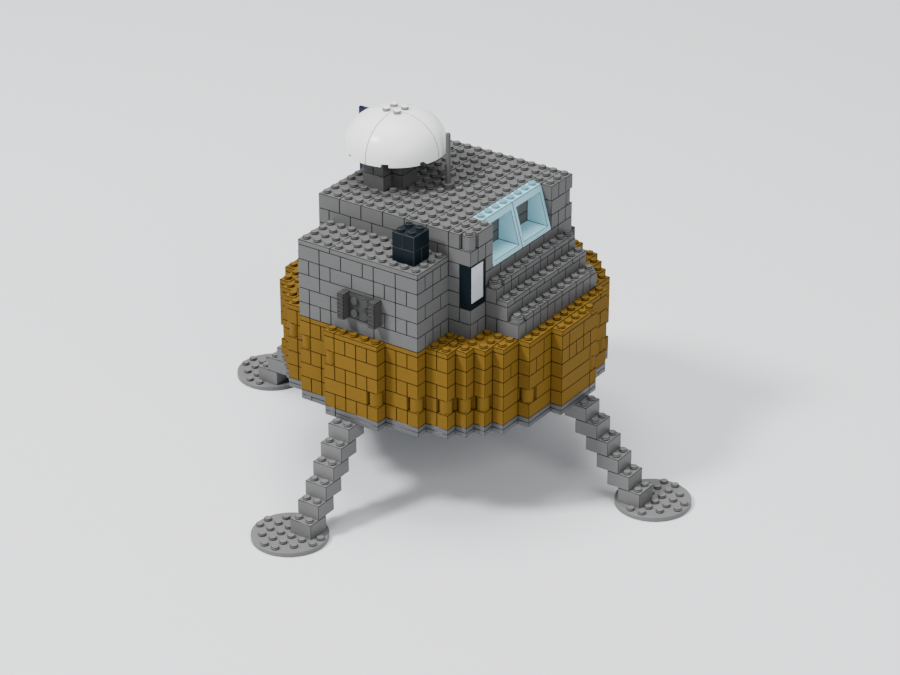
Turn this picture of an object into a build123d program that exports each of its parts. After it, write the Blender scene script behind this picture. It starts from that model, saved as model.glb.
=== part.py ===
"""Brick-built model of a lunar lander: round gold stage on four legs, grey cabin, white dome.

Millimetres, +Z up. The origin is on the ground under the centre of the gold stage. The cabin's
windows and steps face -Y and the side box faces -X. All sits on one grid of studs: cell (i, j) is
centred at (i * STUD, j * STUD), and levels count plates from the ground.
"""
from build123d import *
from collections import namedtuple
import math
import os

# Sizes of the brick system
STUD = 8.0             # pitch of the studs
PLATE = 3.2            # height of a plate
BRICK = 3              # plates in the height of a brick
SEAM = 0.1             # a brick is this much smaller than its cells on every side
STUD_R = 2.4
STUD_H = 1.7
STUD_SIDES = 6
ROUND_SIDES = 8        # sides of a one-stud round brick

# Levels, in plates above the ground
LEG = 1
LEG_COURSES = 6
BASE = LEG + LEG_COURSES * BRICK
SKIRT = BASE + 2
SKIRT_COURSES = 5
DECK = SKIRT + SKIRT_COURSES * BRICK
FLOOR = DECK + 1
BOX_COURSES = 5
BOX_ROOF = FLOOR + BOX_COURSES * BRICK
BLOCK = BOX_ROOF + 1
CABIN_COURSES = 7
ROOF = FLOOR + CABIN_COURSES * BRICK
DOME = ROOF + 2 * BRICK

# Plan, in cells; a pair is the first and last cell
SKIRT_R = 12.3         # a cell belongs to the stage when its centre is this near the middle
LEG_REACH = int(SKIRT_R) + LEG_COURSES - 1    # inner cell of a leg's lowest brick
FOOT_R = 3.0
FOOT_SIDES = 24
BOX_X = (-11, -8)
BOX_Y = (-5, 5)
BLOCK_X = (-10, -9)
BLOCK_Y = (-4, -3)
CABIN = (-7, 6)        # the cabin is square
STEP_X = (-5, 5)
WINDOW_X = ((-4, -1), (0, 3))
WINDOW_Y = (-7, -6)
WINDOW_BASE = FLOOR + 4 * BRICK
FRAME_X = (-7, -6)
FRAME_Y = -7
FRAME_BASE = FLOOR + 2 * BRICK
FRAME_TOP = FRAME_BASE + 3 * BRICK
PEDESTAL_X = (-4, -1)
PEDESTAL_Y = (3, 4)
ARM_X = (-3, -2)
MAST_CELL = (-1, -1)
FIN_CELL = (1, 8)
DOME_I = (-2, -1)      # the dome's middle is on the joint of these cells
DOME_J = (3, 4)
ROUND_DECK = (2, -int(SKIRT_R))       # the one round plate of the deck

# Windows, in millimetres
WINDOW_WALL = 2.8
WINDOW_FLOOR = 3.2
WINDOW_HEAD = 4.5
WINDOW_SILL = 1.0      # height of the upright edge below the slope
FRAME_SIDE = 1.1       # the small frame's upright bars
FRAME_SILL = 3.3
FRAME_HEAD = 1.2
PANE_T = 1.2
PANE_BACK = 0.85       # how far the pane stands behind the frame's face

# Dome, mast, fin and thrusters, in millimetres
DOME_R = 4 * STUD - SEAM
DOME_H = 24.8
DOME_POWER = 0.86      # below 1 the dome is fuller than an ellipse
DOME_STEPS = 6
DOME_SIDES = 24
DOME_WALL = 2.4
MAST_R = 1.6
MAST_H = 36.0
FIN_T = 2.4
FIN_H = 97.9
THRUSTER_W = 27.8
THRUSTER_H = 17.0
THRUSTER_DEEP = 7.8
THRUSTER_CHEEK = 5.1
THRUSTER_PANEL = 2.0
THRUSTER_LEVEL = FLOOR + 2 * BRICK    # its middle
THRUSTER_Y = (-4.0, -44.0)            # on the box, on the back wall

Piece = namedtuple("Piece", "i0 i1 j0 j1 level plates is_round")
pieces = {}            # node -> its pieces
ON_FLOOR = (Align.CENTER, Align.CENTER, Align.MIN)
PLAIN_NODES = ("base_", "skirt_", "deck_", "leg_", "box_roof", "step_")    # left without studs
RUN_COUNTS = (16, 12, 10, 8, 6, 4, 3, 2, 1)    # studs along a plate


def lay(node, i0, i1, j0, j1, level, plates=BRICK, is_round=False):
    """Note one brick or plate over cells i0..i1 by j0..j1 with its foot at the level."""
    pieces.setdefault(node, []).append(Piece(i0, i1, j0, j1, level, plates, is_round))


def block_cells(i0, i1, j0, j1):
    return {(i, j) for i in range(i0, i1 + 1) for j in range(j0, j1 + 1)}


def in_skirt(i, j):
    return math.hypot(i, j) <= SKIRT_R


def split(first, last, longest, early=0):
    """Cut first..last into lengths of longest; early is the length of the first cut, if set."""
    cuts = []
    at = first
    if early:
        cuts.append((first, min(first + early - 1, last)))
        at = first + early
    while at <= last:
        cuts.append((at, min(at + longest - 1, last)))
        at += longest
    return cuts


def tile(node, cells, level):
    """Cover the cells with plates, the largest that fits first."""
    left = set(cells)
    sizes = [(wide, deep) for wide in RUN_COUNTS for deep in RUN_COUNTS]
    sizes.sort(key=lambda size: -size[0] * size[1])
    for wide, deep in sizes:
        for i, j in sorted(left):
            under = block_cells(i, i + wide - 1, j, j + deep - 1)
            if under <= left:
                left -= under
                lay(node, i, i + wide - 1, j, j + deep - 1, level, 1)


def lay_widths(node, widths, first, place, level, plates=BRICK):
    """Lay bricks of these widths along a wall from cell first; place turns a run into cells.

    A width of 0 is a one-stud round brick.
    """
    at = first
    for width in widths:
        long = max(width, 1)
        lay(node, *place(at, at + long - 1), level, plates, width == 0)
        at += long


# Widths of the stage's bricks from left to right, seen from outside; 0 is a round brick.
# Each facet is (distance from the middle, its first cell to the right of the middle), and has
# one row of widths per course from the lowest up
SIDE_BOND = {
    (12, -2): [(1, 1, 1, 1, 1), (2, 2, 0), (1, 1, 1, 1, 1), (0, 2, 2), (1, 1, 1, 1, 1)],
    (11, -5): [(1, 1, 1), (2, 1), (1, 1, 1), (0, 2), (1, 1, 1)],
    (11, 3): [(1, 1, 1), (2, 0), (1, 1, 1), (1, 2), (1, 1, 1)],
    (10, -7): [(1, 1), (1, 1), (1, 1), (0, 1), (1, 1)],
    (10, 6): [(1, 1), (1, 0), (1, 1), (2,), (1, 1)],
    (9, -8): [(1,), (1,), (1,), (0,), (1,)],
    (9, 8): [(1,), (0,), (1,), (1,), (1,)],
}
FRONT_BOND = {
    (12, -2): [(4, 1), (4, 0), (4, 1), (1, 1, 1, 1, 1), (1, 2, 2)],
    (11, -5): [(3,), (0, 2), (2, 1), (1, 1, 1), (2, 1)],
    (11, 3): [(3,), (2, 0), (1, 2), (1, 1, 1), (1, 2)],
    (10, -7): [(2,), (2,), (2,), (1, 1), (2,)],
    (10, 6): [(2,), (1, 0), (2,), (1, 1), (2,)],
    (9, -8): [(1,), (0,), (1,), (1,), (1,)],
    (9, 8): [(1,), (0,), (1,), (1,), (1,)],
}


def back_rounds(node, level):
    """Close the gaps beside the course's round bricks with one-stud bricks behind them."""
    laid = set()
    for piece in pieces[node]:
        laid |= block_cells(*piece[:4])
    behind = set()
    for i, j in [(piece.i0, piece.j0) for piece in pieces[node] if piece.is_round]:
        behind |= {(i - 1, j), (i + 1, j), (i, j - 1), (i, j + 1)}
    for i, j in sorted(behind - laid):
        if in_skirt(i, j):
            lay(node, i, i, j, j, level)


def build_skirt():
    """Lay the stage's wall: the bonds of the -X and -Y sides, turned half round for the others."""
    for course in range(SKIRT_COURSES):
        node = f"skirt_course_{course + 1}"
        level = SKIRT + course * BRICK
        for (far, first), rows in SIDE_BOND.items():
            lay_widths(node, rows[course], first, lambda a, b: (-far, -far, -b, -a), level)
            lay_widths(node, rows[course], first, lambda a, b: (far, far, a, b), level)
        for (far, first), rows in FRONT_BOND.items():
            lay_widths(node, rows[course], first, lambda a, b: (a, b, -far, -far), level)
            lay_widths(node, rows[course], first, lambda a, b: (-b, -a, far, far), level)
        back_rounds(node, level)


def build_stage():
    far = int(SKIRT_R)
    disc = {cell for cell in block_cells(-far, far, -far, far) if in_skirt(*cell)}
    edge = set()
    for i, j in disc:
        around = block_cells(i - 1, i + 1, j - 1, j + 1)
        if any(not in_skirt(*cell) for cell in around):
            edge.add((i, j))
    tile("base_plates_lower", disc, BASE)
    tile("base_plates_upper", edge, BASE + 1)
    build_skirt()
    inside = block_cells(CABIN[0] + 1, CABIN[1] - 1, CABIN[0] + 1, CABIN[1] - 1)
    tile("deck_plates", disc - inside - {ROUND_DECK}, DECK)
    i, j = ROUND_DECK
    lay("deck_plates", i, i, j, j, DECK, 1, True)


def build_legs():
    for course in range(LEG_COURSES):
        near = LEG_REACH - course
        level = LEG + course * BRICK
        node = f"leg_course_{course + 1}"
        lay(node, -near - 1, -near, 0, 1, level)
        lay(node, near, near + 1, 0, 1, level)
        lay(node, 0, 1, -near - 1, -near, level)
        lay(node, 0, 1, near, near + 1, level)


# Widths of the box's bricks, from the lowest course up: along its long outer face from +Y to -Y
BOX_BOND = [
    (1, 1, 1, 4, 4),
    (1, 2, 5, 1, 1, 1),
    (2, 5, 2, 2),
    (1, 1, 1, 2, 2, 1, 1, 1, 1),
    (2, 2, 2, 1, 2, 2),
]
BOX_CORNER = [1, 2, 1, 2, 1]           # how deep its corner bricks are
BOX_END = [(1, 1, 1), (2,), (2, 1), (2,), (1, 1, 1)]    # its end faces, after the corner bricks


def build_box():
    for course in range(BOX_COURSES):
        node = f"box_course_{course + 1}"
        level = FLOOR + course * BRICK
        deep = BOX_CORNER[course]
        at = BOX_Y[1]
        for width in BOX_BOND[course]:
            corner = at == BOX_Y[1] or at - width + 1 == BOX_Y[0]
            lay(node, BOX_X[0], BOX_X[0] + (deep if corner else 1) - 1, at - width + 1, at, level)
            at -= width
        for side in BOX_Y:
            lay_widths(node, BOX_END[course], BOX_X[0] + deep, lambda a, b: (a, b, side, side), level)
    lay("box_roof", *BOX_X, BOX_Y[1] - 2, BOX_Y[1], BOX_ROOF, 1)
    lay("box_roof", *BOX_X, BOX_Y[0], BOX_Y[1] - 3, BOX_ROOF, 1)
    for n in range(2):
        lay("dark_block_course_1", BLOCK_X[n], BLOCK_X[n], *BLOCK_Y, BLOCK)
        lay("dark_block_course_2", *BLOCK_X, BLOCK_Y[n], BLOCK_Y[n], BLOCK + BRICK)


# Widths of the cabin's wall bricks, from the lowest course up; 0 is a round brick. A row is
# (first cell, widths), so a row with the windows or the small frame in it has more than one entry
CABIN_FRONT = [
    [(-6, (1, 1, 4, 4, 2, 1))],
    [(-7, (2, 2, 4, 4, 2))],
    [(-5, (1, 2, 4, 4, 1))],
    [(-5, (2, 2, 2, 2, 2, 2))],
    [(-5, (1,)), (4, (1, 1, 1))],
    [(-6, (1, 1)), (4, (2, 0))],
]
CABIN_SIDE = [        # the -X wall, from +Y to -Y
    (2, 4, 4, 2, 2),
    (1, 4, 4, 4),
    (2, 4, 4, 3),
    (1, 4, 4, 4),
    (2, 4, 4, 2, 1),
    (1, 2, 2, 2, 2, 2, 1, 2),
]
CABIN_BACK = [(4, 4, 4, 1), (2, 4, 4, 3)]      # the +Y wall; courses take turns
CABIN_RIGHT = [(4, 4, 4), (2, 4, 4, 2)]        # the +X wall
WINDOW_BACKING = (4, 4)                        # the wall behind the windows


def build_cabin():
    low, high = CABIN
    for course in range(CABIN_COURSES - 1):
        node = f"cabin_course_{course + 1}"
        level = FLOOR + course * BRICK
        for first, widths in CABIN_FRONT[course]:
            lay_widths(node, widths, first, lambda a, b: (a, b, low, low), level)
        lay_widths(node, CABIN_SIDE[course], -high, lambda a, b: (low, low, -b, -a), level)
        lay_widths(node, CABIN_BACK[course % 2], low + 1, lambda a, b: (a, b, high, high), level)
        lay_widths(node, CABIN_RIGHT[course % 2], low + 1, lambda a, b: (high, high, a, b), level)
        if level >= WINDOW_BASE:
            wall = WINDOW_Y[1] + 1
            ends = (WINDOW_X[0][0] - 1, WINDOW_X[1][1] + 1)
            lay_widths(node, WINDOW_BACKING, WINDOW_X[0][0], lambda a, b: (a, b, wall, wall), level)
            for end in ends:
                lay(node, end, end, WINDOW_Y[1], wall, level)
    level = ROOF - BRICK
    for n, row in enumerate(range(high - 1, low + 1, -2)):
        for a, b in split(low, high, 8, 6 * (n % 2)):
            lay("cabin_roof", a, b, row, row + 1, level)
    for row, groups in ((low + 1, [(-7, (3,)), (4, (3,))]), (low, [(-7, (0, 2)), (4, (1, 1, 1))])):
        for first, widths in groups:
            lay_widths("cabin_roof", widths, first, lambda a, b: (a, b, row, row), level)


def build_steps():
    front = CABIN[0] - 1
    low, high = STEP_X
    for a, b in split(low, high, 1):
        lay("step_course_1", a, b, front - 2, front - 1, FLOOR)
    for a, b in split(low, high, 6, 4):
        lay("step_course_1", a, b, front, front, FLOOR)
    for a, b in split(low, high, 2):
        lay("step_course_2", a, b, front - 1, front, FLOOR + BRICK)
    for a, b in split(low, high, 1):
        lay("step_course_3", a, b, front, front, FLOOR + 2 * BRICK)
    for rank, widths in enumerate(((0, 1, 2, 2, 2, 2, 0), (1, 2, 2, 2, 2, 2), (0, 1, 1, 1, 2, 2, 2, 0))):
        level = FLOOR + (3 - rank) * BRICK
        lay_widths("step_plates", widths, low, lambda a, b: (a, b, front - rank, front - rank), level, 1)


def build_pedestal():
    lay("pedestal_course_1", *PEDESTAL_X, *PEDESTAL_Y, ROOF)
    lay("pedestal_course_1", *ARM_X, PEDESTAL_Y[0] - 1, PEDESTAL_Y[0] - 1, ROOF)
    for row in PEDESTAL_Y:
        lay("pedestal_course_2", *PEDESTAL_X, row, row, ROOF + BRICK)
    lay("pedestal_course_2", *ARM_X, PEDESTAL_Y[0] - 1, PEDESTAL_Y[0] - 1, ROOF + BRICK)


def stud_prism(sides=STUD_SIDES):
    return extrude(RegularPolygon(STUD_R, sides, major_radius=True), STUD_H)


def body_of(piece):
    """One piece without studs, a seam short of its cells on every side."""
    wide = (piece.i1 - piece.i0 + 1) * STUD - 2 * SEAM
    deep = (piece.j1 - piece.j0 + 1) * STUD - 2 * SEAM
    at = ((piece.i0 + piece.i1) / 2 * STUD, (piece.j0 + piece.j1) / 2 * STUD, piece.level * PLATE)
    if piece.is_round:
        return Pos(*at) * extrude(RegularPolygon(wide / 2, ROUND_SIDES), piece.plates * PLATE)
    return Pos(*at) * Box(wide, deep, piece.plates * PLATE, align=ON_FLOOR)


def with_studs(solid, cells, top):
    """Put a stud on the solid at each cell, standing on the level top."""
    if not cells:
        return solid
    stud = stud_prism()
    return solid + [Pos(i * STUD, j * STUD, top * PLATE) * stud for i, j in cells]


def write(node, solids):
    export_step(Compound(label=node, children=solids), f"parts/{node}.step")


def other_cells():
    """Cells that carry something else than bricks, by the level it stands on."""
    return {
        WINDOW_BASE: block_cells(WINDOW_X[0][0], WINDOW_X[1][1], *WINDOW_Y),
        FRAME_BASE: block_cells(*FRAME_X, FRAME_Y, FRAME_Y),
        ROOF: {MAST_CELL},
        DOME: block_cells(*DOME_I, *DOME_J),
    }


def write_pieces():
    """Write the brick nodes; a piece has a stud on each cell that nothing stands on."""
    taken = other_cells()
    for group in pieces.values():
        for piece in group:
            taken.setdefault(piece.level, set()).update(block_cells(*piece[:4]))
    for node, group in pieces.items():
        solids = []
        for piece in group:
            top = piece.level + piece.plates
            bare = set()
            if not node.startswith(PLAIN_NODES):
                bare = block_cells(*piece[:4]) - taken.get(top, set())
            solids.append(with_studs(body_of(piece), sorted(bare), top))
        write(node, solids)


def build_feet():
    solids = []
    plate = extrude(RegularPolygon(FOOT_R * STUD - SEAM, FOOT_SIDES, major_radius=True), PLATE)
    reach = (LEG_REACH + 1.5) * STUD
    aside = STUD * 1.5
    for x, y in ((-reach, aside), (reach, aside), (aside, -reach), (aside, reach)):
        solids.append(Pos(x, y, 0) * plate)
    write("foot_plates", solids)


def build_windows():
    back = (WINDOW_Y[1] + 0.5) * STUD - SEAM
    front = (WINDOW_Y[0] - 0.5) * STUD + SEAM
    middle = (WINDOW_Y[0] + 0.5) * STUD
    foot = WINDOW_BASE * PLATE
    head = ROOF * PLATE
    side = [(back, foot), (front, foot), (front, foot + WINDOW_SILL), (middle, head), (back, head)]
    for name, (low, high) in zip(("left", "right"), WINDOW_X):
        wide = (high - low + 1) * STUD - 2 * SEAM
        x = (low + high) / 2 * STUD
        outline = make_face(Plane.YZ * Polyline(side, close=True))
        outer = Pos(x, 0, 0) * extrude(outline, wide / 2, both=True)
        clear = head - WINDOW_HEAD - foot - WINDOW_FLOOR
        hole = Box(wide - 2 * WINDOW_WALL, 3 * STUD, clear, align=ON_FLOOR)
        write(f"window_frame_{name}", [outer - Pos(x, (front + back) / 2, foot + WINDOW_FLOOR) * hole])


def build_small_frame():
    low, high = FRAME_X
    wide = (high - low + 1) * STUD - 2 * SEAM
    deep = STUD - 2 * SEAM
    x = (low + high) / 2 * STUD
    y = FRAME_Y * STUD
    foot = FRAME_BASE * PLATE
    tall = FRAME_TOP * PLATE - foot
    opening = (wide - 2 * FRAME_SIDE, tall - FRAME_SILL - FRAME_HEAD)
    hole = Box(opening[0], 3 * STUD, opening[1], align=ON_FLOOR)
    frame = Pos(x, y, foot) * Box(wide, deep, tall, align=ON_FLOOR)
    write("small_frame", [frame - Pos(x, y, foot + FRAME_SILL) * hole])
    pane = Box(opening[0], PANE_T, opening[1], align=ON_FLOOR)
    write("small_pane", [Pos(x, y - deep / 2 + PANE_BACK + PANE_T / 2, foot + FRAME_SILL) * pane])


def dome_profile(radius, height):
    """Radius and height of each ring from the rim up, as a superellipse."""
    turns = [n * math.pi / 2 / DOME_STEPS for n in range(DOME_STEPS + 1)]
    rings = [(radius * math.cos(t) ** DOME_POWER, height * math.sin(t) ** DOME_POWER) for t in turns[:-1]]
    return rings + [(0, height)]


def ring(radius, height):
    turns = [2 * math.pi * n / DOME_SIDES for n in range(DOME_SIDES)]
    return [Vector(radius * math.cos(t), radius * math.sin(t), height) for t in turns]


def ring_solid(points):
    """Turn a profile from the rim up to the axis into a solid with flat facets."""
    rings = [ring(radius, height) for radius, height in points[:-1]]
    top = Vector(0, 0, points[-1][1])
    outlines = [rings[0]]
    for low, high in zip(rings, rings[1:]):
        for n in range(DOME_SIDES):
            outlines.append([low[n - 1], low[n], high[n], high[n - 1]])
    for n in range(DOME_SIDES):
        outlines.append([rings[-1][n - 1], rings[-1][n], top])
    faces = [Face(Wire.make_polygon(outline, close=True)) for outline in outlines]
    return Solid(Shell(faces))


def build_dome():
    outer = ring_solid(dome_profile(DOME_R, DOME_H))
    inner = ring_solid(dome_profile(DOME_R - DOME_WALL, DOME_H - DOME_WALL))
    post = Box(2 * STUD, 2 * STUD, DOME_H - DOME_WALL / 2, align=ON_FLOOR)
    whole = outer - inner + post
    middle = Pos(sum(DOME_I) / 2 * STUD, sum(DOME_J) / 2 * STUD, DOME * PLATE)
    reach = DOME_R + STUD
    stud = extrude(RegularPolygon(STUD_R, STUD_SIDES), 2 * STUD_H)
    solids = []
    for sx, sy in ((-1, -1), (-1, 1), (1, -1), (1, 1)):
        corner = Pos(sx * (reach / 2 + SEAM), sy * (reach / 2 + SEAM), 0) * Box(reach, reach, 3 * DOME_H)
        place = Pos(sx * STUD / 2, sy * STUD / 2, DOME_H - STUD_H)
        solids.append(middle * ((whole & corner) + place * stud))
    write("dome_quarters", solids)


def build_mast_and_fin():
    i, j = MAST_CELL
    foot = extrude(RegularPolygon(STUD / 2 - SEAM, 12), PLATE)
    rod = Cylinder(MAST_R, MAST_H, align=ON_FLOOR)
    write("mast", [Pos(i * STUD, j * STUD, ROOF * PLATE) * (foot + rod)])
    i, j = FIN_CELL
    x = (i - 0.5) * STUD + SEAM + FIN_T / 2
    write("fin", [Pos(x, j * STUD, FLOOR * PLATE) * Box(FIN_T, STUD - 2 * SEAM, FIN_H, align=ON_FLOOR)])


def build_thrusters():
    """Two cheeks and a studded panel between them; out is +1 or -1 along X."""
    walls = {
        "left": ((BOX_X[0] - 0.5) * STUD + SEAM, THRUSTER_Y[0], -1),
        "back": ((CABIN[1] + 0.5) * STUD - SEAM, THRUSTER_Y[1], 1),
    }
    base = THRUSTER_LEVEL * PLATE - THRUSTER_H / 2
    panel = Box(THRUSTER_PANEL, THRUSTER_W, THRUSTER_H, align=ON_FLOOR)
    cheek = Box(THRUSTER_DEEP, THRUSTER_CHEEK, THRUSTER_H, align=ON_FLOOR)
    for name, (face, y, out) in walls.items():
        body = Pos(face + out * THRUSTER_PANEL / 2, y, base) * panel
        for side in (-1, 1):
            off = side * (THRUSTER_W - THRUSTER_CHEEK) / 2
            body += Pos(face + out * THRUSTER_DEEP / 2, y + off, base) * cheek
        for dy, dz in ((-0.5, -0.5), (-0.5, 0.5), (0.5, -0.5), (0.5, 0.5)):
            at = Pos(face + out * THRUSTER_PANEL, y + dy * STUD, base + THRUSTER_H / 2 + dz * STUD)
            body += at * Rotation(0, 90 * out, 0) * stud_prism()
        write(f"thruster_{name}", [body])


os.makedirs("parts", exist_ok=True)
build_stage()
build_legs()
build_box()
build_cabin()
build_steps()
build_pedestal()
write_pieces()
build_feet()
build_windows()
build_small_frame()
build_dome()
build_mast_and_fin()
build_thrusters()
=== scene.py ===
import bmesh
import bpy
import math
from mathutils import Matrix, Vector


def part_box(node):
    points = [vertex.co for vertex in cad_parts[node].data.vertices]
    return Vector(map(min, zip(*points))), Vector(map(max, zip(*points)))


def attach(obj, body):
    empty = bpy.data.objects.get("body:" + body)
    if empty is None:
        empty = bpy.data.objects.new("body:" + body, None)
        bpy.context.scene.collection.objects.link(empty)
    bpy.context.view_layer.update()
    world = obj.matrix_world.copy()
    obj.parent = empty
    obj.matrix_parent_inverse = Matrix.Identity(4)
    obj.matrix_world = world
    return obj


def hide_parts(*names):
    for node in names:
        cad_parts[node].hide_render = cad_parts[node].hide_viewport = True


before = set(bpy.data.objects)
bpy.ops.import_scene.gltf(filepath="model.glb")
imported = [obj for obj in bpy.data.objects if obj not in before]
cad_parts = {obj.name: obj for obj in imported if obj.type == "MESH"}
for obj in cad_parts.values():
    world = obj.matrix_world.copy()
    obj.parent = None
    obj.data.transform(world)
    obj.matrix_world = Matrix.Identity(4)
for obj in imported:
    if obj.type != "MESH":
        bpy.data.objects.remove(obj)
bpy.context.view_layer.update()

# Sizes of the brick system, in metres unless the name says mm; SLACK_MM is for comparisons
MM = 0.001
PITCH_MM, PLATE_MM, SEAM_MM = 8.0, 3.2, 0.1
SLACK_MM = 0.05
STUD = PITCH_MM * MM
PLATE = PLATE_MM * MM
SEAM = SEAM_MM * MM
STUD_R = 2.4 * MM
STUD_H = 1.7 * MM
TUBE_R = 3.25 * MM
PIN_R = 1.6 * MM
WALL = 1.5 * MM

# Fine forms, and how far one form reaches into the next
EDGE = 0.28 * MM
OVERLAP = 0.1 * MM
FRAME_EDGE = 0.35 * MM
STUD_EDGE = 0.25 * MM
STUD_LINE = 0.4 * MM
STUD_SIDES = 20
ROUND_SIDES = 32
FOOT_SIDES = 72
TUBE_SIDES = 16
PIN_SIDES = 12
ROUND_FOOT = 0.9 * MM
ROUND_STEP = 0.25 * MM
ROUND_SLOPE = 0.1 * MM
BASE_HOLLOW = 2.0 * MM
LEG_ROOF = 1.4 * MM
UNDER_GAP = 0.05 * MM
MERGE = 0.002 * MM
SHARP = math.radians(32.0)

# Levels in plates, and the cells that carry something other than bricks
DECK_TOP = 37
ROOF = 58
DOME = 64
SKIRT_PLATES = 3
SKIRT_INNER = 12.3
CABIN = (-7, 6)
BOX_X = (-11, -8)
BOX_Y = (-5, 5)
WINDOW_X = ((-4, -1), (0, 3))
WINDOW_Y = (-7, -6)
WINDOW_BASE = 49
FRAME_X = (-7, -6)
FRAME_BASE = 43
DOME_X = (-2, -1)
DOME_Y = (3, 4)
MAST_CELL = (-1, -1)
FIN_CELL = (1, 8)
FOOT_CELLS = ((-18.5, 1.5), (18.5, 1.5), (1.5, -18.5), (1.5, 18.5))
FOOT_ROWS = (2, 4, 6, 6, 4, 2)


# Materials

# Painted shade on joints and beds: how light they are, for faces of 1
JOINT_SHADE_TONE = 0.28
BED_SHADE_TONE = 0.08
CLEAR_EDGE_SHADE_TONE = 0.25
# Keeps the shade under 1, where the mix node would clamp it
HEADROOM = 0.9
CLOUD_SCALE = 45.0
CLEAR_CLOUD_SCALE = 60.0
TEXTURE_SCALE = 900.0
TEXTURE_DEPTH = 0.1 * MM
CREVICE_SHADE_REACH = 0.7 * MM


def principled(name):
    material = bpy.data.materials.new(name)
    material.use_nodes = True
    tree = material.node_tree
    return material, tree, tree.nodes["Principled BSDF"]


def product(tree, first, second):
    """A node's output times a number or another node's output."""
    node = tree.nodes.new("ShaderNodeMath")
    node.operation = "MULTIPLY"
    tree.links.new(first, node.inputs[0])
    if isinstance(second, float):
        node.inputs[1].default_value = second
    else:
        tree.links.new(second, node.inputs[1])
    return node.outputs[0]


def noise(tree, scale, detail=2.0):
    place = tree.nodes.new("ShaderNodeTexCoord")
    node = tree.nodes.new("ShaderNodeTexNoise")
    node.inputs["Scale"].default_value = scale
    node.inputs["Detail"].default_value = detail
    tree.links.new(place.outputs["Object"], node.inputs["Vector"])
    return node.outputs["Fac"]


def spread(tree, value, low, high, from_low=0.0, from_high=1.0):
    """Map a value's range to low and high."""
    node = tree.nodes.new("ShaderNodeMapRange")
    node.inputs["From Min"].default_value = from_low
    node.inputs["From Max"].default_value = from_high
    node.inputs["To Min"].default_value = low
    node.inputs["To Max"].default_value = high
    tree.links.new(value, node.inputs["Value"])
    return node.outputs["Result"]


def scaled_colour(tree, shader, colour, amount):
    """Base colour: the colour times amount, which is at most 1."""
    tint = tree.nodes.new("ShaderNodeMix")
    tint.data_type = "RGBA"
    tint.inputs["A"].default_value = (0.0, 0.0, 0.0, 1.0)
    tint.inputs["B"].default_value = (*colour, 1.0)
    tree.links.new(amount, tint.inputs["Factor"])
    tree.links.new(tint.outputs["Result"], shader.inputs["Base Color"])


def plastic(name, colour, roughness=0.36, gloss=0.3, crevice_shade=0.2, painted_edge_highlight=None):
    """Moulded plastic as three materials: faces, upright joints and level beds.

    Shade changes a little from brick to brick, with faint mould texture. Joints and beds
    are the fine bevels where bricks meet; their darker colour is painted shade, which
    gathers there, and beds face the light and get darker painted shade. On the darkest
    bricks a given lighter colour stands on these bevels instead, as a painted highlight.
    """
    # Painted highlight: a given lighter colour on the joints and beds of the darkest bricks;
    # without it they get painted shade
    joint = painted_edge_highlight or [JOINT_SHADE_TONE * channel for channel in colour]
    bed = painted_edge_highlight or [BED_SHADE_TONE * channel for channel in colour]
    finish = []
    for ending, tint in (("", colour), ("_painted_joint_shading", joint), ("_painted_bed_shading", bed)):
        material, tree, shader = principled(name + ending)
        island = tree.nodes.new("ShaderNodeNewGeometry").outputs["Random Per Island"]
        cloud = noise(tree, CLOUD_SCALE)
        shade = product(tree, spread(tree, island, 0.97, 1.03), spread(tree, cloud, 0.96, 1.04))
        # Painted shade: ambient occlusion darkens the colour in crevices and corners, by up to the
        # share given
        hollow = tree.nodes.new("ShaderNodeAmbientOcclusion")
        hollow.inputs["Distance"].default_value = CREVICE_SHADE_REACH
        hollow.samples = 8
        open_share = spread(tree, hollow.outputs["AO"], 1.0 - crevice_shade, 1.0, 0.3, 0.9)
        shade = product(tree, product(tree, shade, open_share), HEADROOM)
        scaled_colour(tree, shader, [channel / HEADROOM for channel in tint], shade)
        rough = spread(tree, cloud, roughness - 0.05, roughness + 0.07)
        tree.links.new(rough, shader.inputs["Roughness"])
        bump = tree.nodes.new("ShaderNodeBump")
        bump.inputs["Strength"].default_value = 0.05
        bump.inputs["Distance"].default_value = TEXTURE_DEPTH
        tree.links.new(noise(tree, TEXTURE_SCALE, 3.0), bump.inputs["Height"])
        tree.links.new(bump.outputs["Normal"], shader.inputs["Normal"])
        shader.inputs["Specular IOR Level"].default_value = gloss
        finish.append(material)
    return finish


def clear_plastic(name, colour, transmission, roughness, inner=1.0):
    """See-through plastic as three materials: faces, edges and recess.

    Edges are darker, as light gathers away from them. The recess may be brighter by the
    factor inner, for the light that comes through the walls.
    """
    finish = []
    for ending, tone in (("", 1.0), ("_painted_joint_shading", CLEAR_EDGE_SHADE_TONE), ("_inner", inner)):
        material, tree, shader = principled(name + ending)
        cloud = spread(tree, noise(tree, CLEAR_CLOUD_SCALE), 0.93, 1.0)
        scaled_colour(tree, shader, [tone * channel for channel in colour], cloud)
        shader.inputs["Transmission Weight"].default_value = transmission
        shader.inputs["Roughness"].default_value = roughness
        shader.inputs["IOR"].default_value = 1.5
        shader.inputs["Specular IOR Level"].default_value = 0.2
        finish.append(material)
    return finish


GOLD = plastic("gold_plastic", (0.126, 0.071, 0.0108), 0.5, gloss=0.02, crevice_shade=0.0)
GREY = plastic("grey_plastic", (0.092, 0.092, 0.092), gloss=0.06, crevice_shade=0.1)
LIGHT = plastic("light_grey_plastic", (0.118, 0.118, 0.118), gloss=0.1)
BLUE_GREY = plastic("blue_grey_plastic", (0.070, 0.072, 0.075))
DARK = plastic("dark_grey_plastic", (0.058, 0.058, 0.058), gloss=0.2)
MAST = plastic("mast_plastic", (0.070, 0.070, 0.070), gloss=0.2)
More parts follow.
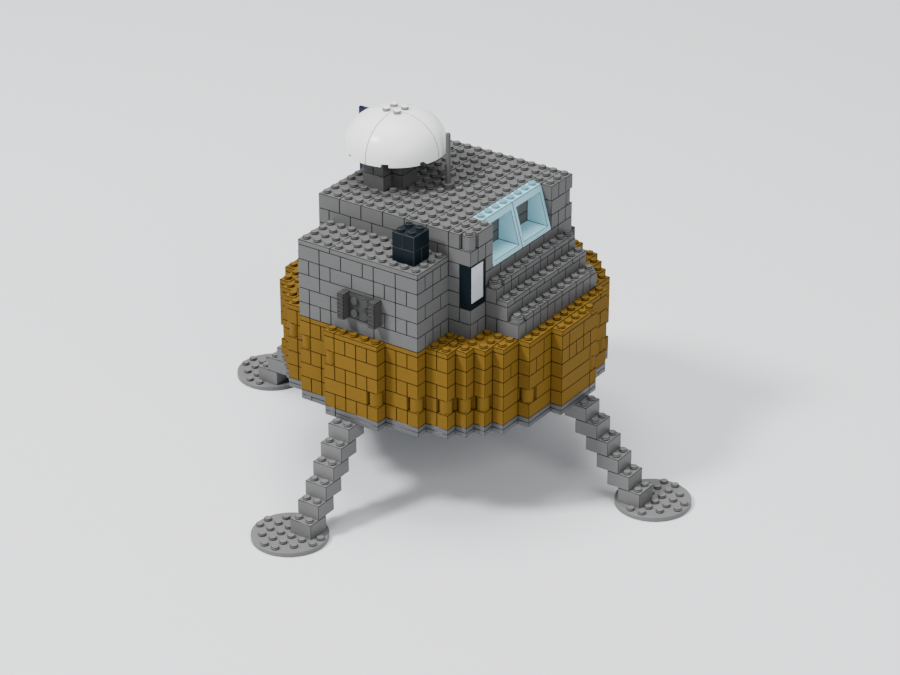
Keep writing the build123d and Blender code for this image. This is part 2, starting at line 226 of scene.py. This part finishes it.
# Painted shade: the thrusters' dark grey made darker still, for the shade they sit in
SHADED = plastic("thruster_shaded_dark_grey_plastic", (0.040, 0.040, 0.040), 0.45, gloss=0.06)
BLACK_BLUE = plastic("navy_plastic", (0.0035, 0.0075, 0.010), 0.34, gloss=0.06)
# Painted highlight: the lighter colour on this block's joints and beds
BLOCK_BLUE = plastic("navy_block_plastic", (0.0030, 0.0070, 0.0095), 0.34, gloss=0.06,
                     painted_edge_highlight=(0.030, 0.032, 0.033))
NAVY = plastic("fin_plastic", (0.006, 0.0085, 0.030), 0.3, gloss=0.15)
WHITE = plastic("white_plastic", (0.70, 0.70, 0.70), 0.28, crevice_shade=0.1)
CLEAR = clear_plastic("clear_blue_plastic", (0.27, 0.53, 0.61), 0.12, 0.3, 1.4)
CLEAR_STUDS = clear_plastic("clear_blue_studs", (0.12, 0.27, 0.33), 0.12, 0.3)
PANE = clear_plastic("clear_pane", (0.44, 0.475, 0.51), 0.1, 0.1)

# What each CAD node is made of, by the start of its name; other nodes are grey
FINISHES = (
    ("base_", BLUE_GREY), ("leg_", LIGHT), ("foot_", LIGHT), ("skirt_", GOLD), ("deck_", GOLD),
    ("pedestal_", DARK), ("thruster_", SHADED), ("dark_block", BLOCK_BLUE),
    ("small_frame", BLACK_BLUE), ("fin", NAVY), ("mast", MAST), ("window_", CLEAR),
    ("small_pane", PANE), ("dome_", WHITE),
)


# Mesh helpers

# Which of the piece's three materials a face has: joints and beds carry painted shade, or a painted
# highlight on the darkest bricks; on clear plastic the third is the recess
FACE, JOINT_SHADING, BED_SHADING = 0, 1, 2
INNER = 2


class Shape:
    """Points and faces of one piece, gathered from many small forms."""

    def __init__(self):
        self.points = []
        self.faces = []
        self.smooth = []
        self.part = []

    def add(self, points, faces, smooth=False, part=FACE):
        start = len(self.points)
        self.points += points
        self.faces += [[start + n for n in face] for face in faces]
        self.smooth += [smooth] * len(faces)
        self.part += [part] * len(faces)

    def skin(self, loops, cap_first=True, cap_last=True, smooth=False, joints=(), rest=FACE):
        """Join loops of equally many points, each anticlockwise from above and above the last.

        joints numbers the bands between loops that are level bevels, in the bed finish with its
        painted shade; rest is for the others.
        """
        count = len(loops[0])
        for n, (low, high) in enumerate(zip(loops, loops[1:])):
            faces = [[k, (k + 1) % count, count + (k + 1) % count, count + k] for k in range(count)]
            self.add(low + high, faces, smooth, BED_SHADING if n in joints else rest)
        if cap_first:
            self.add(loops[0], [list(range(count))[::-1]])
        if cap_last:
            self.add(loops[-1], [list(range(count))])

    def to_object(self, name, finish):
        mesh = bpy.data.meshes.new(name)
        mesh.from_pydata([tuple(p) for p in self.points], [], self.faces)
        mesh.polygons.foreach_set("use_smooth", self.smooth)
        piece = bpy.data.objects.new(name, mesh)
        bpy.context.scene.collection.objects.link(piece)
        for material in finish:
            mesh.materials.append(material)
        mesh.polygons.foreach_set("material_index", self.part)
        form = bmesh.new()
        form.from_mesh(mesh)
        bmesh.ops.remove_doubles(form, verts=form.verts, dist=MERGE)
        form.to_mesh(mesh)
        form.free()
        mesh.set_sharp_from_angle(angle=SHARP)
        mesh.update()
        return piece


def rectangle(x0, x1, y0, y1, z, inset, cut):
    """A rectangle with cut corners, inset from its sides."""
    x0, x1, y0, y1 = x0 + inset, x1 - inset, y0 + inset, y1 - inset
    return [(x0 + cut, y0, z), (x1 - cut, y0, z), (x1, y0 + cut, z), (x1, y1 - cut, z),
            (x1 - cut, y1, z), (x0 + cut, y1, z), (x0, y1 - cut, z), (x0, y0 + cut, z)]


def band(shape, low, high):
    """The upright band of a block: its cut corners take the joint finish, painted shade on most
    plastics.
    """
    for k in range(8):
        corners = [low[k], low[(k + 1) % 8], high[(k + 1) % 8], high[k]]
        shape.add(corners, [[0, 1, 2, 3]], False, JOINT_SHADING if k % 2 else FACE)


def block(shape, x0, x1, y0, y1, z0, z1, hollow=0.0, edge=EDGE):
    """A box with fine bevels; hollow is how deep it is open from below."""
    foot = rectangle(x0, x1, y0, y1, z0 + edge, 0.0, edge)
    head = rectangle(x0, x1, y0, y1, z1 - edge, 0.0, edge)
    rim = rectangle(x0, x1, y0, y1, z0, edge, edge / 2)
    if hollow:
        roof = rectangle(x0, x1, y0, y1, z0 + hollow, WALL, edge)
        mouth = rectangle(x0, x1, y0, y1, z0, WALL, edge)
        shape.skin([roof, mouth, rim], True, False)
    else:
        shape.add(rim, [list(range(8))[::-1]])
    shape.skin([rim, foot], False, False, False, (0,))
    band(shape, foot, head)
    shape.skin([head, rectangle(x0, x1, y0, y1, z1, edge, edge / 2)], False, True, False, (0,))


def circle(x, y, z, radius, sides):
    turns = [2 * math.pi * n / sides for n in range(sides)]
    return [(x + radius * math.cos(t), y + radius * math.sin(t), z) for t in turns]


def turned(shape, x, y, profile, sides=24, cap_first=True, cap_last=True, joints=(), rest=FACE):
    """A turned form: profile is a list of (radius, height), from the lowest up."""
    loops = [circle(x, y, z, r, sides) for r, z in profile]
    shape.skin(loops, cap_first, cap_last, True, joints, rest)


def stud(shape, x, y, z, side=FACE):
    """A stud on the height z, with a line round its foot and its top in the bed finish, painted
    shade on most plastics.
    """
    rim = z + STUD_H - STUD_EDGE
    foot = [(STUD_R, z - STUD_EDGE), (STUD_R, z + STUD_LINE), (STUD_R, rim)]
    turned(shape, x, y, foot, STUD_SIDES, True, False, (0,), side)
    head = [(STUD_R, rim), (STUD_R - STUD_EDGE, z + STUD_H)]
    turned(shape, x, y, head, STUD_SIDES, False, True, (0,))


def tube(shape, x, y, z0, z1):
    """An open tube, seen from below."""
    rings = [(STUD_R, z1), (STUD_R, z0), (TUBE_R, z0), (TUBE_R, z1), (STUD_R, z1)]
    shape.skin([circle(x, y, z, r, TUBE_SIDES) for r, z in rings], False, False, True)


def cells_of(i0, i1, j0, j1):
    return {(i, j) for i in range(i0, i1 + 1) for j in range(j0, j1 + 1)}


def sides_of(i0, i1, j0, j1):
    """The sides of a brick on these cells, inside its seams."""
    return ((i0 - 0.5) * STUD + SEAM, (i1 + 0.5) * STUD - SEAM,
            (j0 - 0.5) * STUD + SEAM, (j1 + 0.5) * STUD - SEAM)


# Bricks, read from the CAD nodes

BRICK_NODES = ("base_", "skirt_", "deck_", "leg_", "box_", "dark_block", "cabin_", "step_",
               "pedestal_")


def islands(node):
    """A node's separate solids in mm: (low corner, high corner, round or not)."""
    at_side = 0.3
    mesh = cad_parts[node].data
    keys = [tuple(round(c / MM, 2) for c in v.co) for v in mesh.vertices]
    parent = {key: key for key in keys}

    def root(key):
        while parent[key] != key:
            parent[key] = parent[parent[key]]
            key = parent[key]
        return key

    for edge in mesh.edges:
        a, b = root(keys[edge.vertices[0]]), root(keys[edge.vertices[1]])
        parent[a] = b
    groups = {}
    for key in parent:
        groups.setdefault(root(key), []).append(key)
    found = []
    for group in groups.values():
        low = [min(p[n] for p in group) for n in range(3)]
        high = [max(p[n] for p in group) for n in range(3)]
        foot = [p for p in group if p[2] < low[2] + SLACK_MM]
        corners = [p for p in foot
                   if all(min(p[n] - low[n], high[n] - p[n]) < at_side for n in (0, 1))]
        found.append((low, high, len(corners) < len(foot)))
    return sorted(found)


def read_bricks():
    """Each brick node's bricks: cells i0, i1, j0, j1, level and height in plates, round or not."""
    bricks = {}
    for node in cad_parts:
        if not node.startswith(BRICK_NODES):
            continue
        for low, high, is_round in islands(node):
            cells = []
            for n in (0, 1):
                cells.append(round((low[n] - SEAM_MM) / PITCH_MM + 0.5))
                cells.append(round((high[n] + SEAM_MM) / PITCH_MM - 0.5))
            level = round(low[2] / PLATE_MM)
            plates = int((high[2] - low[2] + SLACK_MM) / PLATE_MM)
            bricks.setdefault(node, []).append((*cells, level, plates, is_round))
    return bricks


def read_taken(bricks):
    """By level, the cells that something stands on, so that no stud shows."""
    taken = {}

    def take(level, cells):
        taken.setdefault(level, set()).update(cells)

    for group in bricks.values():
        for *cells, level, _, _ in group:
            take(level, cells_of(*cells))
    take(WINDOW_BASE, cells_of(WINDOW_X[0][0], WINDOW_X[1][1], *WINDOW_Y))
    take(FRAME_BASE, cells_of(*FRAME_X, CABIN[0], CABIN[0]))
    take(ROOF, {MAST_CELL})
    take(DOME, cells_of(*DOME_X, *DOME_Y))
    take(DECK_TOP, cells_of(*CABIN, *CABIN) | cells_of(*BOX_X, *BOX_Y) | {FIN_CELL})
    return taken


BRICKS = read_bricks()
TAKEN = read_taken(BRICKS)


def round_brick(shape, x, y, z0, z1):
    """A round one-stud brick, a little narrower at its foot."""
    r = STUD / 2 - SEAM
    narrow, waist = r - ROUND_STEP, z0 + ROUND_FOOT + ROUND_SLOPE
    foot = [(narrow, z0), (narrow, z0 + ROUND_FOOT), (r, waist)]
    turned(shape, x, y, foot, ROUND_SIDES, True, False)
    turned(shape, x, y, [(r, waist), (r, z1 - EDGE)], ROUND_SIDES, False, False)
    turned(shape, x, y, [(r, z1 - EDGE), (r - EDGE, z1)], ROUND_SIDES, False, True, (0,))


def underside(shape, i0, i1, j0, j1, z0, z1):
    """Tubes between four studs, or pins between two, as seen from below."""
    if i1 > i0 and j1 > j0:
        for i in range(i0, i1):
            for j in range(j0, j1):
                tube(shape, (i + 0.5) * STUD, (j + 0.5) * STUD, z0, z1)
        return
    spots = [(i + 0.5, j0) for i in range(i0, i1)] or [(i0, j + 0.5) for j in range(j0, j1)]
    for i, j in spots:
        turned(shape, i * STUD, j * STUD, [(PIN_R, z0), (PIN_R, z1)], PIN_SIDES)


def brick(shape, cells, level, plates, is_round, bare, hollow):
    """One brick, with studs on its bare cells."""
    z0, z1 = level * PLATE, (level + plates) * PLATE
    if is_round:
        round_brick(shape, cells[0] * STUD, cells[2] * STUD, z0, z1)
    else:
        block(shape, *sides_of(*cells), z0, z1, hollow)
        if hollow:
            underside(shape, *cells, z0 + UNDER_GAP, z0 + (hollow + OVERLAP))
    for i, j in sorted(bare):
        stud(shape, i * STUD, j * STUD, z1)


def hollow_depth(node, plates):
    if node == "base_plates_lower":
        return BASE_HOLLOW
    if node.startswith("leg_"):
        return plates * PLATE - LEG_ROOF
    return 0.0


def finish_of(node):
    for start, finish in FINISHES:
        if node.startswith(start):
            return finish
    return GREY


def put(shape, node):
    """The visible piece of a CAD node."""
    piece = shape.to_object(node + "_detail", finish_of(node))
    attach(piece, "root")
    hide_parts(node)
    return piece


def behind(wall):
    """Cells inside the skirt's wall that lie next to it on two sides or more."""
    found = set()
    for i, j in wall:
        for a, b in ((i - 1, j), (i + 1, j), (i, j - 1), (i, j + 1)):
            sides = {(a - 1, b), (a + 1, b), (a, b - 1), (a, b + 1)} & wall
            if (a, b) not in wall and math.hypot(a, b) < SKIRT_INNER and len(sides) > 1:
                found.add((a, b))
    return sorted(found)


def build_bricks():
    """All bricks and plates.

    The studs of base and skirt are covered and left out. Through the gaps of the skirt the
    bricks behind it show, so these are here too.
    """
    for node, group in BRICKS.items():
        shape = Shape()
        for *cells, level, plates, is_round in group:
            bare = set()
            if not node.startswith(("base_", "skirt_")):
                bare = cells_of(*cells) - TAKEN.get(level + plates, set())
            brick(shape, cells, level, plates, is_round, bare, hollow_depth(node, plates))
        if node.startswith("skirt_"):
            level = group[0][4]
            for i, j in behind(TAKEN[level]):
                z0, z1 = level * PLATE, (level + SKIRT_PLATES) * PLATE
                block(shape, *sides_of(i, i, j, j), z0, z1)
        put(shape, node)


def build_feet():
    """Round plates, hollow below, with studs and tubes in rows."""
    shape = Shape()
    r = 3 * STUD - SEAM
    rim, recess = 1.6 * MM, 1.4 * MM
    low_edge, low_rise, top_edge = 0.2 * MM, 0.25 * MM, 0.3 * MM
    shoulder = PLATE - top_edge
    last = len(FOOT_ROWS) - 1
    for ci, cj in FOOT_CELLS:
        x, y = ci * STUD, cj * STUD
        side = [(r - rim, recess), (r - rim, 0.0), (r - low_edge, 0.0), (r, low_rise),
                (r, shoulder)]
        turned(shape, x, y, side, FOOT_SIDES, True, False)
        turned(shape, x, y, [(r, shoulder), (r - top_edge, PLATE)], FOOT_SIDES, False, True)
        for n, count in enumerate(FOOT_ROWS):
            for m in range(count):
                i, j = ci - (count - 1) / 2 + m, cj - last / 2 + n
                if (round(i), round(j)) not in TAKEN[1]:
                    stud(shape, i * STUD, j * STUD, PLATE)
                if n < last and m < min(count, FOOT_ROWS[n + 1]) - 1:
                    k = ci - min(count, FOOT_ROWS[n + 1]) / 2 + 1 + m
                    tube(shape, k * STUD, (j + 0.5) * STUD, UNDER_GAP, recess + OVERLAP)
    put(shape, "foot_plates")


def ring(x0, x1, low_y, low_z, high_y, high_z):
    """Four corners of a frame, seen from the front: its lower edge and its upper edge."""
    return [(x0, low_y, low_z), (x1, low_y, low_z), (x1, high_y, high_z), (x0, high_y, high_z)]


def bands(*starts):
    """Quads that join the ring at each start to the ring after it."""
    return [[a + k, a + (k + 1) % 4, a + 4 + (k + 1) % 4, a + 4 + k]
            for a in starts for k in range(4)]


def build_windows():
    """Sloped frames, open at the back, each with a row of studs on top."""
    post, base, head, sill = 2.8 * MM, 3.2 * MM, 4.5 * MM, 1.0 * MM
    back = (WINDOW_Y[1] + 0.5) * STUD - SEAM
    front = (WINDOW_Y[0] - 0.5) * STUD + SEAM
    middle = (WINDOW_Y[0] + 0.5) * STUD
    foot, top = WINDOW_BASE * PLATE, ROOF * PLATE

    def slope(z):
        """The front's Y at this height."""
        share = max(0.0, (z - foot - sill) / (top - foot - sill))
        return front + (middle - front) * share

    for name, (low, high) in zip(("left", "right"), WINDOW_X):
        x0, x1 = (low - 0.5) * STUD + SEAM, (high + 0.5) * STUD - SEAM
        low_z, high_z = foot + base, top - head
        rings = ring(x0, x1, front, foot + sill, middle, top)
        rings += ring(x0 + post, x1 - post, slope(low_z), low_z, slope(high_z), high_z)
        rings += ring(x0 + post, x1 - post, back, low_z, back, high_z)
        rings += ring(x0, x1, back, foot, back, top)
        nose = [(x0, front, foot), (x1, front, foot)]
        outside = [[3, 2, 14, 15], [16, 12, 13, 17], [16, 17, 1, 0],
                   [16, 0, 3, 15, 12], [17, 13, 14, 2, 1]]
        shape = Shape()
        shape.add(rings + nose, bands(0, 8) + outside)
        # The recess takes the clear plastic's inner finish: painted light, brighter for the light
        # through the walls
        shape.add(rings[4:12], bands(0), False, INNER)
        edged(put(shape, f"window_frame_{name}"))
        shape = Shape()
        for i in range(low, high + 1):
            stud(shape, i * STUD, WINDOW_Y[1] * STUD, top)
        studs = shape.to_object(f"window_studs_{name}", CLEAR_STUDS)
        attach(studs, "root")


def build_small_frame():
    """A dark frame with its pane."""
    low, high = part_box("small_frame")
    pane_low, pane_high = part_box("small_pane")
    outer, inner = [], []
    for y in (low.y, high.y):
        outer.append(ring(low.x, high.x, y, low.z, y, high.z))
        inner.append(ring(pane_low.x, pane_high.x, y, pane_low.z, y, pane_high.z))
    shape = Shape()
    shape.skin([outer[0], inner[0], inner[1], outer[1], outer[0]], False, False)
    edged(put(shape, "small_frame"))
    shape = Shape()
    block(shape, pane_low.x, pane_high.x, pane_low.y, pane_high.y, pane_low.z, pane_high.z,
          edge=0.1 * MM)
    put(shape, "small_pane")


def edged(piece):
    """Round the edges a little, in the darker joint material: painted shade."""
    modifier = piece.modifiers.new("edges", "BEVEL")
    modifier.width = FRAME_EDGE
    modifier.segments = 2
    modifier.limit_method = "ANGLE"
    modifier.material = JOINT_SHADING


def dome_profile(radius, height, steps):
    """Radius and height from the rim to the top, on a curve a little fuller than an ellipse."""
    turns = [n * math.pi / 2 / steps for n in range(steps + 1)]
    power = 0.86
    rings = [(radius * math.cos(t) ** power, height * math.sin(t) ** power) for t in turns[:-1]]
    return rings + [(0.0, height)]


def dome_turns(notches, notch):
    """A quarter's angles in degrees, closer at the ends of each notch, and which are in one."""
    steps, clear, beside = 24, 0.5, 0.02
    turns = [90 / steps * n for n in range(steps + 1)]
    for middle in notches:
        first, last = middle - notch, middle + notch
        turns = [t for t in turns if abs(t - middle) > notch + clear]
        turns += [first - beside, first, middle, last, last + beside]
    turns = sorted(turns)
    return turns, [min(abs(t - middle) for middle in notches) <= notch for t in turns]


def build_dome():
    """Four shells with notched rims, held by a square post with a stud on each quarter."""
    low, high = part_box("dome_quarters")
    x, y, z = (low.x + high.x) / 2, (low.y + high.y) / 2, low.z
    r, h, wall = (high.x - low.x) / 2, high.z - low.z - STUD_H, 2.4 * MM
    notch_up, gap, steps, foot_depth = 2.0 * MM, 0.22 * MM, 20, 1.5 * MM
    outer = dome_profile(r, h, steps)
    inner = dome_profile(r - wall, h - wall, steps)
    turns, cut = dome_turns((23.0, 67.0), 4.4)
    wide = len(turns)
    shape = Shape()
    for n, (sx, sy) in enumerate(((1, 1), (-1, 1), (-1, -1), (1, -1))):

        def at(radius, turn, height):
            angle = math.radians(turn + 90 * n)
            across = sx * max(sx * radius * math.cos(angle), gap)
            along = sy * max(sy * radius * math.sin(angle), gap)
            return (x + across, y + along, z + height)

        for profile, flip in ((outer, False), (inner, True)):
            points = []
            for k, (radius, height) in enumerate(profile):
                points += [at(radius, t, notch_up if k == 0 and c else height)
                           for t, c in zip(turns, cut)]
            faces = [[a + b, a + b + 1, a + wide + b + 1, a + wide + b]
                     for a in range(0, steps * wide, wide) for b in range(wide - 1)]
            shape.add(points, [face[::-1] for face in faces] if flip else faces, True)
        rim = [at(r, t, notch_up * c) for t, c in zip(turns, cut)]
        rim += [at(r - wall, t, notch_up * c) for t, c in zip(turns, cut)]
        shape.add(rim, [[b + 1, b, wide + b, wide + b + 1] for b in range(wide - 1)], False)
        for t, flip in ((turns[0], True), (turns[-1], False)):
            side = [at(radius, t, height) for radius, height in outer + inner]
            faces = [[a, a + 1, steps + a + 2, steps + a + 1] for a in range(steps)]
            # The quarters' flat sides, where they meet, take the bed finish: painted shade in the
            # gaps
            shape.add(side, [face[::-1] for face in faces] if flip else faces, False, BED_SHADING)
        ends = (x + sx * gap, x + sx * STUD, y + sy * gap, y + sy * STUD)
        block(shape, *sorted(ends[:2]), *sorted(ends[2:]), z, z + h - wall)
        stud_x, stud_y = x + sx * STUD / 2, y + sy * STUD / 2
        # The studs' sides take the joint finish: painted shade, darker than the white
        stud(shape, stud_x, stud_y, z + h, JOINT_SHADING)
        foot = [(STUD_R, z + h - foot_depth), (STUD_R, z + h - UNDER_GAP)]
        turned(shape, stud_x, stud_y, foot, STUD_SIDES)
    put(shape, "dome_quarters")


def build_mast():
    """A rod that stands on a round foot and narrows at both ends."""
    shape = Shape()
    z = ROOF * PLATE
    foot, foot_top = STUD / 2 - SEAM, z + PLATE
    profile = [(foot, z), (foot, foot_top - 0.3 * MM), (foot - 0.3 * MM, foot_top),
               (1.9 * MM, foot_top), (1.6 * MM, foot_top + 1.5 * MM), (1.6 * MM, z + 34.8 * MM),
               (1.2 * MM, z + 35.7 * MM), (0.5 * MM, z + 36.0 * MM)]
    turned(shape, MAST_CELL[0] * STUD, MAST_CELL[1] * STUD, profile)
    put(shape, "mast")


def build_fin():
    shape = Shape()
    low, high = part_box("fin")
    block(shape, low.x, high.x, low.y, high.y, low.z, high.z)
    put(shape, "fin")


def peg(shape, x, y, z, out):
    """A stud that stands out along X."""
    edge = 0.18 * MM
    turns = [2 * math.pi * n / STUD_SIDES for n in range(STUD_SIDES)]
    loops = []
    for along, r in ((0.0, STUD_R), (STUD_H - edge, STUD_R), (STUD_H, STUD_R - edge)):
        loops.append([(x + out * along, y + out * r * math.cos(t), z + r * math.sin(t))
                      for t in turns])
    shape.skin(loops, True, True, True)


def build_thruster(name, out):
    """A panel with four pegs between two ribbed cheeks; out is where it points along X."""
    shape = Shape()
    low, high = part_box(f"thruster_{name}")
    wall, tip = (high.x, low.x) if out < 0 else (low.x, high.x)
    middle, centre_z = (low.y + high.y) / 2, (low.z + high.z) / 2
    half, cheek, panel, rib = (high.y - low.y) / 2, 5.1 * MM, 2.0 * MM, 0.4 * MM
    rib_base, rib_pitch, rib_height, rib_inset = 1.3 * MM, 2.6 * MM, 1.4 * MM, 0.35 * MM
    block(shape, *sorted((wall, wall + out * panel)),
          middle - half + cheek - rib / 4, middle + half - cheek + rib / 4, low.z, high.z)
    for side in (-1, 1):
        ends = sorted((middle + side * half, middle + side * (half - cheek)))
        block(shape, *sorted((wall, tip - out * rib)), *ends, low.z, high.z)
        for n in range(6):
            z = low.z + rib_base + n * rib_pitch
            block(shape, *sorted((tip - out * 1.5 * rib, tip)), ends[0] + rib_inset,
                  ends[1] - rib_inset, z, z + rib_height, edge=0.2 * MM)
    for dy in (-0.5, 0.5):
        for dz in (-0.5, 0.5):
            peg(shape, wall + out * panel, middle + dy * STUD, centre_z + dz * STUD, out)
    put(shape, f"thruster_{name}")


build_bricks()
build_feet()
build_windows()
build_small_frame()
build_dome()
build_mast()
build_fin()
build_thruster("left", -1)
build_thruster("back", 1)


# Camera, fitted to the photo
def facing(direction):
    return Vector(direction).to_track_quat("-Z", "Y").to_euler()


camera_data = bpy.data.cameras.new("camera")
camera = bpy.data.objects.new("camera", camera_data)
bpy.context.scene.collection.objects.link(camera)
camera.location = (-1.36716, -0.94550, 0.94299)
camera.rotation_euler = facing((0.7303, 0.5030, -0.4623))
camera_data.sensor_width = 36.0
camera_data.lens = 119.17
camera_data.clip_start = 0.05
bpy.context.scene.camera = camera

# Floor
reach = 6
floor_shape = Shape()
floor_shape.add([(-reach, -reach, 0), (reach, -reach, 0), (reach, reach, 0), (-reach, reach, 0)],
                [[0, 1, 2, 3]])
floor_material, _, floor_shader = principled("floor")
floor_shader.inputs["Base Color"].default_value = (0.62, 0.63, 0.65, 1.0)
floor_shader.inputs["Roughness"].default_value = 0.7
floor = floor_shape.to_object("floor", [floor_material])

# Light, aimed at the part's middle
MIDDLE = Vector((0.0, 0.0, 0.12))


def area(name, place, size, power):
    light = bpy.data.lights.new(name, "AREA")
    light.energy = power
    light.size = size
    lamp = bpy.data.objects.new(name, light)
    lamp.location = place
    lamp.rotation_euler = facing(MIDDLE - Vector(place))
    bpy.context.scene.collection.objects.link(lamp)


area("key", (-1.45, 0.95, 2.05), 0.45, 108.0)
area("fill", (-1.1, -2.0, 1.5), 1.4, 42.0)
area("top", (0.1, 0.3, 2.6), 1.6, 87.0)

world = bpy.data.worlds.new("world")
bpy.context.scene.world = world
world.use_nodes = True
background = world.node_tree.nodes["Background"]
background.inputs["Color"].default_value = (0.92, 0.94, 0.97, 1.0)
background.inputs["Strength"].default_value = 0.55
